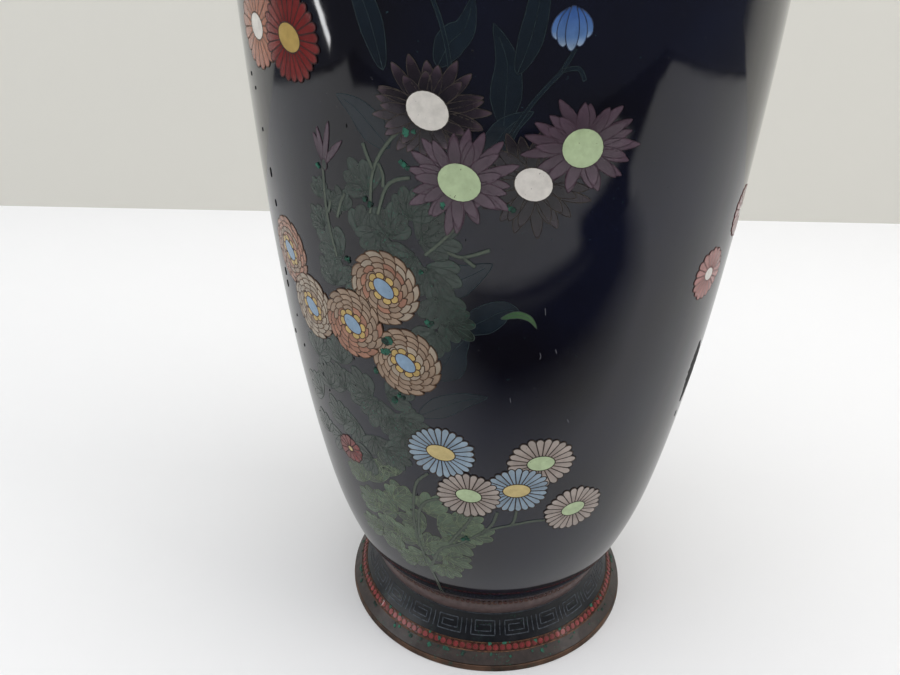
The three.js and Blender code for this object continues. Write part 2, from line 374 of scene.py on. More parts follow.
def spike(profile, start, end, half_width, angle, origin=(0, 0), stretch=(1, 1), bend=0.0, steps=12):
    """Grid of a petal that runs from start to end along an angle, curving sideways by bend."""
    s = (1 - np.cos(np.linspace(0, math.pi, steps))) / 2
    along = start + (end - start) * s
    half = half_width * np.maximum([profile(value) for value in s], THIN_END)
    middle = bend * (end - start) * s * s
    sides = np.linspace(-1, 1, 3)
    grid = np.stack([along[:, None] * np.ones(3), middle[:, None] + half[:, None] * sides], -1)
    return turned_by(grid, angle) * np.array(stretch) + np.array(origin)


def oval(width, height, tilt=0.0, origin=(0, 0), steps=13, columns=5):
    angle = np.linspace(0, math.pi, steps)
    along = -np.cos(angle) * width
    half = np.maximum(np.sin(angle), THIN_END) * height
    grid = np.stack([along[:, None] * np.ones(columns), half[:, None] * np.linspace(-1, 1, columns)], -1)
    return turned_by(grid, tilt) + np.array(origin)


def blob(size, squash, origin):
    """A small ragged patch."""
    ragged = np.array([rng.uniform(0.7, 1.3) for _ in range(11)])[:, None, None]
    grid = oval(size, size * squash, steps=11, columns=3) * ragged
    return turned_by(grid, rng.uniform(0, math.pi) if squash == 1 else math.pi / 2) + np.array(origin)


def ribbon(path, half_widths, columns=3, loop=False):
    """Grid of points across a path, one half width for all of it or one for each point."""
    path = np.array(path, float)
    run = np.roll(path, -1, 0) - np.roll(path, 1, 0) if loop else np.gradient(path, axis=0)
    run = unit(run)
    side = np.stack([-run[:, 1], run[:, 0]], 1) * np.reshape(half_widths, (-1, 1))
    return np.stack([path + side * t for t in np.linspace(-1, 1, columns)], 1)


def rim(grid):
    """Once round the grid's two long edges."""
    return np.concatenate([grid[:, 0], grid[::-1, -1]])


class Motif:
    """One flower or spray: its enamel cells and the wires bent round them."""

    def __init__(self, centre, layer, wire=FINE_WIRE):
        self.cells = Relief(body, centre)
        self.wires = Relief(body, centre)
        self.layer = layer
        self.width = wire

    def height(self, level):
        return CELL_PROUD + LAYER * (self.layer + level)

    def cell(self, grid, level=0.0, slot=0, tone=None, outline=True, lift=0.0):
        """An enamel cell, its far end raised by lift layers, with a wire round it."""
        tone = rng.random() if tone is None else tone
        slope = np.linspace(0, lift, len(grid))[:, None] * np.ones(grid.shape[1])
        proud = self.height(level + slope)
        self.cells.grid(grid, proud, slot, tone)
        if outline:
            self.wires.wire(rim(grid), rim(proud) + LAYER / 2, self.width, loop=True)

    def line(self, path, level, width):
        self.wires.wire(path, self.height(level) + LAYER / 2, width)

    def place(self, places, steps):
        """A smooth path through places given as azimuth and height."""
        return spline([self.cells.local(*place) for place in places], steps)

    def make(self, name, enamels, slot, wire, *nodes):
        self.cells.make(name, [MATERIALS[enamel_name] for enamel_name in enamels], slot, *nodes)
        self.wires.make(name + "_wires", [MATERIALS[wire]], "copper")


# ---- materials ----

def colour(red, green, blue):
    """Screen colour, 0 to 255, as Blender's linear colour."""
    def linear(value):
        value /= 255
        return value / 12.92 if value <= 0.04045 else ((value + 0.055) / 1.055) ** 2.4
    return (linear(red), linear(green), linear(blue), 1)


class Shader:
    """A node material under construction."""

    def __init__(self, name, roughness, metallic=0.0, coat=0.0):
        self.material = bpy.data.materials.new(name)
        self.material.use_nodes = True
        self.tree = self.material.node_tree
        self.surface = self.tree.nodes["Principled BSDF"]
        sockets = {"Roughness": roughness, "Metallic": metallic, "Coat Weight": coat}
        sockets |= {"IOR": 1.5, "Coat Roughness": 0.04}
        for socket, value in sockets.items():
            self.feed(self.surface, socket, value)
        self.place = self.node("ShaderNodeTexCoord").outputs["Object"]

    def node(self, kind, **inputs):
        made = self.tree.nodes.new(kind)
        for key, value in inputs.items():
            self.feed(made, key.replace("_", " "), value)
        return made

    def feed(self, node, socket, value):
        target = node.inputs[socket]
        if isinstance(value, bpy.types.NodeSocket):
            self.tree.links.new(value, target)
        else:
            target.default_value = value

    def noise(self, scale, detail):
        inputs = {"Vector": self.place, "Scale": scale, "Detail": detail, "Roughness": 0.55}
        return self.node("ShaderNodeTexNoise", **inputs).outputs["Fac"]

    def patches(self, scale, detail, low, high, *ends):
        """Noise spread between the ends, 0 and 1 unless given, as it rises from low to high."""
        return self.step(self.noise(scale, detail), low, high, *ends)

    def attribute(self, label):
        made = self.tree.nodes.new("ShaderNodeAttribute")
        made.attribute_name = label
        return made.outputs["Fac"]

    def ramp(self, value, *stops):
        made = self.node("ShaderNodeValToRGB", Fac=value)
        elements = made.color_ramp.elements
        while len(elements) < len(stops):
            elements.new(0.5)
        for element, (position, shade) in zip(elements, stops):
            element.position = position
            element.color = shade
        return made.outputs["Color"]

    def step(self, value, low, high, to_low=0.0, to_high=1.0):
        made = self.tree.nodes.new("ShaderNodeMapRange")
        for index, number in enumerate((value, low, high, to_low, to_high)):
            self.feed(made, index, number)
        return made.outputs["Result"]

    def maths(self, operation, first, second):
        made = self.tree.nodes.new("ShaderNodeMath")
        made.operation = operation
        self.feed(made, 0, first)
        self.feed(made, 1, second)
        return made.outputs["Value"]

    def mix(self, factor, first, second, blend="MIX"):
        made = self.tree.nodes.new("ShaderNodeMix")
        made.data_type = "RGBA"
        made.blend_type = blend
        for index, value in ((0, factor), (6, first), (7, second)):
            self.feed(made, index, value)
        return made.outputs[2]

    def bump(self, height, strength, distance, normal=None):
        made = self.node("ShaderNodeBump", Height=height, Strength=strength, Distance=distance)
        if normal is not None:
            self.feed(made, "Normal", normal)
        return made.outputs["Normal"]

    def finish(self, shade, roughness=None, normal=None):
        for socket, value in (("Base Color", shade), ("Roughness", roughness), ("Normal", normal)):
            if value is not None:
                self.feed(self.surface, socket, value)
        return self.material


def grey(value):
    return (value, value, value, 1)


def enamel(name, shades, mottle=0.2, vary=0.2, rough=(0.1, 0.2), coat=0.3, specks=None, pits=0.5):
    """Fired and polished glass: a gradient along each cell, cloudy colour, fine pits and dull patches."""
    shader = Shader(name, rough[0], coat=coat)
    stops = [(i / (len(shades) - 1), colour(*shade)) for i, shade in enumerate(shades)]
    shade = shader.ramp(shader.attribute("reach"), *stops)
    cloud = shader.patches(900, 4, 0.3, 0.7, 1 - mottle, 1 + mottle)
    cell = shader.step(shader.attribute("tone"), 0, 1, 1 - vary, 1 + vary)
    shade = shader.mix(1.0, shade, shader.maths("MULTIPLY", cloud, cell), "MULTIPLY")
    if specks:
        fine = shader.patches(3400, 2, 0.6, 0.7)
        patch = shader.patches(260, 2, 0.5, 0.6)
        shade = shader.mix(shader.maths("MULTIPLY", fine, patch), shade, specks)
    pit = shader.patches(3800, 1, 0.74, 0.78)
    shade = shader.mix(shader.maths("MULTIPLY", pit, pits), shade, grey(0.004))
    dull = shader.patches(420, 5, 0.35, 0.75, *rough)
    normal = shader.bump(shader.noise(700, 2), 0.04, 0.0002)
    normal = shader.bump(shader.maths("MULTIPLY", pit, -1.0), 0.3 * pits, 0.0001, normal)
    return shader.finish(shade, dull, normal)


def wire_metal(name, bright, dark):
    """Drawn strip: bright where it was polished, darker where it has tarnished."""
    shader = Shader(name, 0.35, metallic=0.5)
    shade = shader.mix(shader.patches(1400, 4, 0.35, 0.65), colour(*dark), colour(*bright))
    normal = shader.bump(shader.noise(5000, 2), 0.1, 0.00005)
    return shader.finish(shade, shader.patches(900, 3, 0.3, 0.7, 0.35, 0.6), normal)


def ground_material():
    """Midnight enamel: nearly black, bluer in broad patches, with pits and specks."""
    shader = Shader("ground_enamel", 0.05, coat=0.3)
    broad = shader.patches(38, 3, 0.38, 0.66)
    shade = shader.mix(broad, colour(11, 10, 18), colour(14, 17, 34))
    shade = shader.mix(shader.patches(2400, 2, 0.73, 0.79), shade, colour(40, 62, 66))
    pit = shader.patches(1500, 1, 0.78, 0.81)
    shade = shader.mix(pit, shade, grey(0.002))
    dull = shader.patches(120, 5, 0.3, 0.8, 0.04, 0.1)
    normal = shader.bump(shader.noise(160, 2), 0.035, 0.0006)
    normal = shader.bump(shader.maths("MULTIPLY", pit, -1.0), 0.4, 0.0001, normal)
    return shader.finish(shade, dull, normal)


def copper_material():
    """Old copper: brown patina rubbed bright in places, with verdigris and fine turning marks."""
    shader = Shader("copper", 0.45, metallic=0.6)
    shade = shader.mix(shader.patches(240, 5, 0.35, 0.65), colour(52, 42, 36), colour(104, 78, 62))
    verdigris = shader.maths("MULTIPLY", shader.patches(900, 4, 0.6, 0.68), 0.6)
    shade = shader.mix(verdigris, shade, colour(52, 78, 68))
    stretched = shader.node("ShaderNodeMapping", Vector=shader.place, Scale=(60, 60, 5000))
    marks = shader.node("ShaderNodeTexNoise", Vector=stretched.outputs["Vector"], Scale=1.0, Detail=2.0)
    normal = shader.bump(marks.outputs["Fac"], 0.15, 0.00008)
    normal = shader.bump(shader.noise(1200, 4), 0.25, 0.0001, normal)
    return shader.finish(shade, shader.patches(500, 4, 0.3, 0.7, 0.35, 0.65), normal)


def worn_spot(name, first, second):
    """Bare, crumbly spot where enamel has gone or wire has corroded, lighter or darker by its tone."""
    shader = Shader(name, 0.7)
    grain = shader.patches(2200, 4, 0.35, 0.65, -0.3, 0.3)
    shade = shader.mix(shader.maths("ADD", shader.attribute("tone"), grain), colour(*first), colour(*second))
    return shader.finish(shade, normal=shader.bump(shader.noise(3000, 4), 0.6, 0.0002))


TURQUOISE = colour(26, 92, 72)

# Each wire: its polished and its tarnished colour.
WIRES = {
    "dark_wire": ((74, 58, 46), (30, 24, 22)),
    "mum_wire": ((98, 70, 48), (62, 42, 30)),
    "brown_wire": ((104, 70, 48), (54, 34, 24)),
    "red_wire": ((64, 20, 18), (46, 15, 14)),
    "pink_wire": ((118, 76, 70), (88, 56, 52)),
    "silver_wire": ((92, 98, 106), (50, 55, 62)),
    "leaf_wire": ((66, 78, 71), (42, 51, 47)),
    "low_leaf_wire": ((116, 128, 102), (82, 94, 74)),
    "blade_wire": ((44, 60, 63), (27, 38, 44)),
    "plum_wire": ((82, 60, 72), (50, 36, 46)),
    "shadow_wire": ((74, 66, 58), (40, 34, 36)),
    "bell_wire": ((70, 84, 112), (40, 50, 74)),
}
MATERIALS = {name: wire_metal(name, *shades) for name, shades in WIRES.items()}

# Each clear enamel: its colours from a cell's root to its tip, then how much cells differ.
ENAMELS = {
    "blue": ([(104, 124, 142), (126, 145, 160), (138, 154, 166)], 0.14),
    "cream": ([(130, 114, 106), (152, 140, 132), (162, 152, 144)], 0.1),
    "yellow": ([(196, 176, 118), (192, 172, 114)], 0.03),
    "gold": ([(180, 152, 88), (174, 147, 84)], 0.06),
    "pale_green": ([(172, 190, 148), (168, 186, 146)], 0.03),
    "white": ([(216, 211, 203), (211, 206, 198)], 0.03),
    "pale_blue": ([(124, 150, 174), (120, 146, 170)], 0.03),
    "buff": ([(118, 96, 78), (140, 118, 98), (148, 128, 108)], 0.12),
    "salmon": ([(128, 84, 64), (148, 102, 80), (154, 110, 88)], 0.14),
    "ivory": ([(134, 120, 102), (152, 138, 120), (158, 146, 130)], 0.12),
    "plum": ([(58, 45, 53), (70, 55, 65), (86, 68, 80)], 0.15),
    "dark_plum": ([(20, 17, 22), (25, 21, 27), (44, 35, 42)], 0.3),
    "tipped_plum": ([(14, 12, 17), (20, 16, 22), (36, 28, 35), (90, 72, 82)], 0.25),
    "bell": ([(40, 68, 120), (60, 94, 152), (82, 114, 160), (156, 172, 184)], 0.15),
    "red": ([(100, 26, 22), (112, 30, 26), (106, 32, 30)], 0.08),
    "orange": ([(148, 82, 50), (150, 86, 60), (144, 82, 70)], 0.1),
    "pink": ([(140, 84, 78), (152, 98, 92), (160, 110, 104)], 0.12),
    "blade": ([(14, 22, 30), (19, 30, 39), (18, 28, 37)], 0.15),
    "bright_leaf": ([(52, 84, 54), (78, 106, 70)], 0.05),
    "stem": ([(62, 70, 58), (72, 82, 68)], 0.1),
}
for enamel_name, (shades, vary) in ENAMELS.items():
    MATERIALS[enamel_name] = enamel(enamel_name + "_enamel", shades, vary=vary, mottle=0.12)

MATERIALS["ground"] = ground_material()
MATERIALS["copper"] = copper_material()

# Each cloudy or worn enamel: its colours, then how it differs from the usual.
CLOUDY_ENAMELS = {
    "leaf": (
        [(32, 41, 37), (41, 51, 46), (46, 57, 51)],
        {"specks": TURQUOISE, "mottle": 0.35, "vary": 0.3},
    ),
    "low_leaf": (
        [(46, 58, 46), (60, 75, 57), (74, 90, 69)],
        {"specks": TURQUOISE, "mottle": 0.35, "vary": 0.5},
    ),
    "fret": (
        [(15, 17, 23), (19, 22, 29)],
        {"specks": colour(22, 66, 50), "rough": (0.28, 0.45), "mottle": 0.4, "coat": 0.05},
    ),
    "green_band": (
        [(57, 46, 42), (51, 49, 43)],
        {"specks": TURQUOISE, "rough": (0.4, 0.6), "mottle": 0.4, "coat": 0.1, "pits": 0.8},
    ),
    "bead": ([(126, 46, 46), (136, 56, 56)], {"rough": (0.25, 0.4), "vary": 0.25}),
    "bead_ground": ([(74, 30, 27), (66, 32, 28)], {"rough": (0.2, 0.4)}),
    "collar": (
        [(96, 78, 76), (104, 86, 82)],
        {"rough": (0.3, 0.5), "mottle": 0.3, "coat": 0.1, "pits": 0.8},
    ),
    "counter": ([(52, 104, 116), (60, 114, 124)], {"rough": (0.16, 0.4), "mottle": 0.35}),
}
for enamel_name, (shades, traits) in CLOUDY_ENAMELS.items():
    MATERIALS[enamel_name] = enamel(enamel_name + "_enamel", shades, **traits)

MATERIALS["verdigris"] = worn_spot("verdigris", (13, 34, 28), (34, 104, 82))
MATERIALS["bare"] = worn_spot("bare_spot", (5, 6, 6), (18, 20, 20))
MATERIALS["scratch"] = worn_spot("scratch", (84, 84, 90), (128, 128, 134))


# ---- turned pieces ----

BODY_FINE = spline(BODY_OUTLINE, 110)
NECK_FINE = spline(NECK_OUTLINE, 48)


def neck_part(bottom, top):
    """The neck's outline between two heights, half a seam short of each."""
    low, high = bottom + SEAM / 2, top - SEAM / 2
    levels = np.linspace(low, high, max(4, int((high - low) * 2)))
    return np.stack([np.interp(levels, NECK_FINE[:, 1], NECK_FINE[:, 0]), levels], 1)


def make_copper():
    ring_top = FLOOR_BOTTOM - FIT
    seat = inset([*GREEN_BAND, BEAD_BAND[1], *FRET_BAND[1:]], FOOT_ENAMEL + FIT)
    foot = [
        (FOOT_INSIDE, 0), (FOOT_RADIUS, 0), (FOOT_RADIUS - 0.15, FOOT_EDGE_TOP), (seat[0][0], FOOT_EDGE_TOP),
        *seat[1:4], (RING_OUTSIDE, RING_SHOULDER), (RING_OUTSIDE, ring_top), (RING_BORE, ring_top),
        (RING_BORE, RING_SHOULDER), (21.4, 5.9), (23.6, 2.95),
    ]
    turned("foot_ring_visual", rounded(foot, 0.22), MATERIALS["copper"], "copper", "foot_ring")
    base = VASE_HEIGHT - 2 * LIP_ROUND
    lip = [
        (LIP_RADIUS + LIP_HALF * math.cos(a), VASE_HEIGHT - LIP_ROUND + LIP_ROUND * math.sin(a))
        for a in np.linspace(0, math.pi, 17)
    ]
    section = [(LIP_RADIUS + LIP_HALF, base), *lip, (LIP_RADIUS - LIP_HALF, base)]
    turned("lip_rim_visual", section, MATERIALS["copper"], "copper", "lip_rim", sharp=50)
    for name in ("copper_body", "copper_neck"):
        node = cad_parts[name]
        node.data.materials.clear()
        node.data.materials.append(MATERIALS["copper"])


def make_linings():
    depth = ENAMEL + COPPER + 2 * FIT
    floor = FLOOR_BOTTOM + COPPER + FIT
    outer = inset(BODY_FINE, depth)[3:]
    inner = inset(BODY_FINE, depth + LINING)[3:][::-1]
    foot_turn = [(0, floor), (19.4, floor), (20.2, 13.5)]
    inside_turn = [(19.5, 13.9), (18.6, floor + LINING), (0, floor + LINING)]
    tube = shell(NECK_FINE, depth, depth + LINING)
    disc = [(0, 9.6), (7, 9.55), (14, 9.55), (19.2, 9.6), (20, 9.9), (20, 10.4), (0, 10.4)]
    linings = [
        ("interior_lining", [*foot_turn, *outer, *inner, *inside_turn], "interior_counter_enamel"),
        ("neck_lining", tube, "neck_counter_enamel"),
        ("base_enamel", disc, "base_counter_enamel"),
    ]
    for name, section, node in linings:
        turned(name, section, MATERIALS["counter"], "counter_enamel", node, sharp=60)


def make_grounds():
    section = shell(BODY_FINE, 0, ENAMEL)
    turned("body_ground", section, MATERIALS["ground"], "ground_enamel", "ground_enamel")
    collar = rounded([*WAIST, (21.8, 12.05), (21.8, 8.8)], 0.1)
    turned("waist_collar", collar, MATERIALS["collar"], "collar_enamel", "waist_collar_enamel", sharp=50)
    materials = {"green": "green_band", "bead": "bead_ground", "fret": "fret", "collar": "collar"}
    bands = [
        ("foot", "green", np.linspace(*GREEN_BAND, 5), FOOT_ENAMEL),
        ("foot", "bead", np.linspace(*BEAD_BAND, 5), FOOT_ENAMEL),
        ("foot", "fret", spline(FRET_BAND, 9), FOOT_ENAMEL),
    ]
    bands += [("neck", name, neck_part(*heights), ENAMEL) for name, heights in NECK_BANDS.items()]
    for place, name, outline, thick in bands:
        section = shell(outline, 0, thick)
        material = MATERIALS[materials[name]]
        turned(f"{place}_{name}_ground", section, material, f"{name}_enamel", f"{place}_{name}_enamel")


# ---- bands of wire and beads ----

def ring_wire(name, surface, height, material, width, proud):
    """A border wire that runs right round, standing a little proud of the enamel."""
    relief = Relief(surface, (0, height), even=True)
    turns = np.linspace(0, 2 * math.pi, 360, endpoint=False)
    path = np.stack([turns * surface.radius(relief.length), 0 * turns], 1)
    relief.grid(np.stack([path + (0, width / 2), path - (0, width / 2)], 1), proud, loop=True, depth=0.3)
    relief.make(name, [MATERIALS[material]], "copper")


def bead_row(name, surface, height, count, width, enamel_name="bead"):
    """Round enamel beads side by side, each a low dome of three steps in its own ring of wire."""
    beads = Relief(surface, (0, height), even=True)
    wires = Relief(surface, (0, height), even=True)
    pitch = 2 * math.pi * surface.radius(beads.length) / count
    half = min(pitch, width) / 2
    for i in range(count):
        origin = (i * pitch, 0)
        tone = rng.random()
        for share, proud in ((0.86, 0.05), (0.66, 0.09), (0.4, 0.12)):
            step = oval(half * share, half * share, origin=origin, steps=7, columns=3)
            beads.grid(step, proud, tone=tone)
        ring = rim(oval(half, half, origin=origin, steps=8, columns=3))
        wires.wire(ring, 0.07, FINE_WIRE, loop=True)
    beads.make(name + "_beads", [MATERIALS[enamel_name]], "bead_enamel")
    wires.make(name + "_bead_wires", [MATERIALS["brown_wire"]], "copper")


def fret_unit(width, height):
    """One squared spiral of a key fret, from its outer corner to its middle."""
    x, y = width / 2, height / 2
    step = height * 0.26
    left, right, low, end = step - x, x - step, step * 0.2 - y, step * 1.3 - y
    return [
        (-x, -y), (-x, y), (x, y), (x, low), (left, low), (left, y - step), (right, y - step),
        (right, end), (left + step, end),
    ]


def squared(points, spacing=0.35):
    """The points joined by straight runs, cut short enough to bend round a surface."""
    path = []
    for start, end in zip(points[:-1], points[1:]):
        start, end = np.array(start, float), np.array(end, float)
        count = max(2, int(np.linalg.norm(end - start) / spacing))
        path += [start + (end - start) * t for t in np.linspace(0.02, 0.98, count)]
    return path


def key_fret(name, surface, height, tall, units):
    """Squared spirals right round a band, every other one mirrored, with a line between."""
    relief = Relief(surface, (0, height), even=True)
    pitch = 2 * math.pi * surface.radius(relief.length) / units
    for i in range(units):
        flip = -1 if i % 2 else 1
        middle = i * pitch
        spiral = [(middle + flip * x, -y) for x, y in fret_unit(pitch * 0.7, tall)]
        relief.wire(squared(spiral), FRET_PROUD)
        edge = middle + pitch / 2
        relief.wire(squared([(edge, -tall / 2), (edge, tall / 2)]), FRET_PROUD)
    relief.make(name, [MATERIALS["silver_wire"]], "fret_enamel")


def make_bands():
    key_fret("foot_fret_wires", foot_fret, 6.3, 2.8, 24)
    bead_row("foot", foot_beads, 3.58, 132, 1.15)
    for name, height in (("upper", 4.15), ("lower", 3.02)):
        ring_wire("foot_wire_" + name, foot_slope, height, "brown_wire", 0.18, 0.05)
    ring_wire("waist_wire_lower", waist, 8.7, "silver_wire", 0.2, 0.06)
    bead_row("waist", waist, 12.0, 150, 0.8, "bead_ground")
    key_fret("neck_fret_wires", neck, 168.3, 8.4, 16)
    bead_row("neck", neck, 176.3, 84, 1.3)
    neck_wires = {"shoulder": 158.1, "collar": 161.2, "fret": 175.4, "bead": 177.2, "lip": 181.4}
    for name, height in neck_wires.items():
        ring_wire("neck_wire_" + name, neck, height, "silver_wire", 0.26, 0.1)


# ---- flowers ----

# Name, centre as azimuth and height, radius, petals, petal and middle enamels, the middle's
# half width and height, its tilt, layer, wire.
DAISIES = [
    ("cream_daisy_left", (-5, 43.5), 4.8, 23, "cream", "pale_green", (2.0, 1.4), -0.15, 20, "dark_wire"),
    ("blue_daisy_left", (-11.8, 51.4), 5, 25, "blue", "yellow", (2.2, 1.45), -0.15, 14, "dark_wire"),
    ("blue_daisy_right", (7.2, 44.9), 4.8, 25, "blue", "yellow", (2.1, 1.4), -0.02, 17, "dark_wire"),
    ("cream_daisy_middle", (12.5, 50.2), 5, 23, "cream", "pale_green", (2.1, 1.45), 0, 14, "dark_wire"),
    ("cream_daisy_right", (23.8, 39.5), 4.8, 23, "cream", "pale_green", (2.0, 1.45), 0.15, 14, "dark_wire"),
    ("red_daisy", (-40.7, 106.7), 5.3, 24, "red", "gold", (2.2, 1.65), -0.35, 16, "red_wire"),
    ("orange_daisy", (-52.5, 107.6), 5.4, 18, "orange", "white", (1.9, 1.6), -0.35, 10, "brown_wire"),
    ("pink_daisy_front", (52.6, 76.1), 4, 18, "pink", "white", (1.3, 1.0), -0.35, 10, "pink_wire"),
    ("pink_daisy_back", (67, 83.2), 4, 18, "pink", "white", (1.3, 1.0), -0.35, 10, "pink_wire"),
    ("red_blossom", (-41, 45.6), 2.7, 12, "red", "yellow", (0.6, 0.5), -0.35, 10, "red_wire"),
]

# Name, centre, radius, enamels of the rows from outside in, enamel of the petals on the lower
# side if it differs, layer.
CHRYSANTHEMUMS = [
    ("chrysanthemum_middle", (-31.7, 70.3), 5.3, ("buff", "buff", "buff", "salmon"), "salmon", 24),
    ("chrysanthemum_lower", (-18.9, 66.2), 5.3, ("buff", "buff", "buff", "ivory"), None, 14),
    ("chrysanthemum_upper", (-22.7, 77), 5.3, ("ivory", "buff", "salmon", "buff"), None, 14),
    ("chrysanthemum_left", (-45.5, 70.3), 5.1, ("ivory", "ivory", "ivory", "buff"), None, 14),
    ("chrysanthemum_far_left", (-52.5, 77.7), 5.1, ("salmon", "salmon", "buff", "salmon"), None, 6),
]
# Petals in each of its rows, and how far out they stand as a share of the radius.
PETAL_ROWS = [(14, 0.87), (13, 0.72), (11, 0.57), (9, 0.43)]
MUM_PETAL_LENGTH = 0.72
MUM_PETAL_WIDTH = 0.118
MUM_SWEEP = 1.2
MUM_TILT = -0.7
MUM_GOLD = 8
GOLDEN = 0.618
ASTER_TOP = 24

# Name, centre, radius, stretch across and up, petal and middle enamels, the middle's half width
# and height, its tilt, layer, wire.
ASTERS = [
    ("aster_centre", (-7, 92), 6.9, (1, 0.92), "plum", "pale_green", (2.65, 2.2), -0.4, 20, "plum_wire"),
    ("aster_upper_left", (-12.4, 99.9), 7.3, (1, 0.8), "tipped_plum", "white", (2.6, 2.1), -0.4, 12,
     "shadow_wire"),
    ("aster_right", (13.6, 96.1), 7.1, (1, 0.8), "plum", "pale_green", (2.45, 2.25), -0.2, 20, "plum_wire"),
    ("aster_lower_right", (5.7, 92), 6.9, (1, 0.92), "dark_plum", "white", (2.3, 1.95), -0.4, 10,
     "shadow_wire"),
]


def daisy(name, centre, radius, petals, petal, middle, size, tilt, layer, wire):
    """Round-ended petals in one row, side by side on shared wires, about an oval middle."""
    motif = Motif(centre, layer, WIRE)
    widest = 0.848 * radius
    half = widest * math.tan(math.pi / petals)
    phase = rng.random()
    for i in range(petals):
        angle = 2 * math.pi * (i + phase) / petals
        reach = radius * rng.uniform(0.95, 1.02)
        motif.cell(spike(daisy_petal, radius * 0.24, reach, half, angle, stretch=(1.03, 0.97)))
    motif.cell(oval(*size, tilt), level=1, slot=1, tone=0.5)
    motif.make(name + "_petals", (petal, middle), petal + "_enamel", wire, name)


def chrysanthemum(name, centre, radius, rows, low, layer):
    """Rows of narrow petals that lap along and over each other round a pale blue middle."""
    motif = Motif(centre, layer, MUM_WIRE)
    shades = list(dict.fromkeys([*rows, low or rows[0], "gold", "pale_blue"]))
    motif.cell(oval(radius * 0.84, radius * 0.84, steps=25), slot=shades.index(rows[0]), outline=False)
    for level, ((count, reach), shade) in enumerate(zip(PETAL_ROWS, rows)):
        pitch = 2 * math.pi * reach * radius / count
        for i in range(count):
            angle = 2 * math.pi * (i + 0.5 * level) / count + rng.uniform(-0.04, 0.04)
            origin = radius * reach * np.array([0.97 * math.cos(angle), math.sin(angle)])
            long, wide = MUM_PETAL_LENGTH * pitch, MUM_PETAL_WIDTH * radius
            petal = spike(scale_petal, -long, long, wide, angle + MUM_SWEEP, origin, bend=0.04)
            chosen = shade if rng.random() < 0.75 else rows[level - 1]
            if low and math.sin(angle + 0.6) < -0.55:
                chosen = low
            motif.cell(petal, 1 + level * 1.6, shades.index(chosen), lift=1.5)
    for i in range(MUM_GOLD):
        angle = 2 * math.pi * i / MUM_GOLD
        origin = turned_by([2.0 * math.cos(angle), 1.5 * math.sin(angle)], MUM_TILT)
        gold = oval(0.66, 0.52, angle + MUM_TILT + 1.57, origin, steps=9, columns=3)
        motif.cell(gold, 8, shades.index("gold"))
    motif.cell(oval(1.72, 1.15, MUM_TILT), 9, shades.index("pale_blue"), tone=0.5)
    motif.make(name + "_petals", shades, "chrysanthemum_enamel", "mum_wire", name)


def aster(name, centre, radius, stretch, petal, middle, size, tilt, layer, wire):
    """Two rows of broad pointed petals that lap over a filling disc, about a large oval middle."""
    motif = Motif(centre, layer)
    disc = 0.55 * radius
    motif.cell(oval(disc * stretch[0], disc * stretch[1], steps=25), slot=2, outline=False)
    for row, (petals, share) in enumerate(((17, 1.0), (13, 0.84))):
        for i in range(petals):
            angle = 2 * math.pi * (i + 0.5 * row) / petals + rng.uniform(-0.09, 0.09)
            reach = radius * share * rng.uniform(0.84, 1.06)
            bend = rng.uniform(-0.14, 0.14)
            grid = spike(aster_petal, radius * 0.2, reach, radius * 0.13, angle, stretch=stretch, bend=bend)
            motif.cell(grid, 1 + row + (i * GOLDEN) % 1)
    motif.cell(oval(*size, tilt), level=ASTER_TOP - layer, slot=1, tone=0.5)
    filling = "plum" if petal == "plum" else "dark_plum"
    motif.make(name + "_petals", (petal, middle, filling), "aster_enamel", wire, name)


def bellflower(name, centre, radius, layer):
    """A bell seen from the side: long blue petals from one crown, with pale hanging points."""
    motif = Motif(centre, layer)
    tips = [(-0.86, -0.5), (0.86, -0.42), (-0.52, -0.82), (0.5, -0.8), (0.0, -1.0)]
    for level, tip in enumerate(tips):
        start = np.array([tip[0] * 0.35, 0.98 - 0.2 * abs(tip[0])])
        side = np.array([tip[0] * 1.22, 0.25])
        t = (1 - np.cos(np.linspace(0, math.pi, 14)))[:, None] / 2
        path = (1 - t) ** 2 * start + 2 * t * (1 - t) * side + t**2 * np.array(tip)
        half = [0.36 * radius * max(bell_petal(s), 0.05) for s in t[:, 0]]
        motif.cell(ribbon(path * radius * np.array([0.86, 1.1]), half), level)
    motif.make(name + "_petals", ["bell"], "bellflower_enamel", "bell_wire", name)


def bud(name, centre, layer):
    """Narrow pointed petals opening upwards from a green cup."""
    motif = Motif(centre, layer)
    for level, (angle, reach) in enumerate(((1.95, 3.8), (0.75, 4.6), (1.72, 4.4), (1.3, 5.4))):
        motif.cell(spike(aster_petal, 0, reach, 0.5, angle, origin=(0, -2.4)), level)
    motif.cell(oval(0.7, 0.45, 1.57, origin=(0, -2.6)), 4, slot=1, tone=0.5)
    motif.make(name + "_petals", ("plum", "leaf"), "aster_enamel", "plum_wire", name)


def make_flowers():
    for row in DAISIES:
        daisy(*row)
    for row in CHRYSANTHEMUMS:
        chrysanthemum(*row)
    for row in ASTERS:
        aster(*row)
    bud("aster_bud", (-34.6, 94.8), 8)
    bellflower("bellflower_right", (10.1, 108.6), 2.0, 8)
    bellflower("bellflower_left", (-15.4, 114), 2.2, 8)


# ---- leaves and stems ----

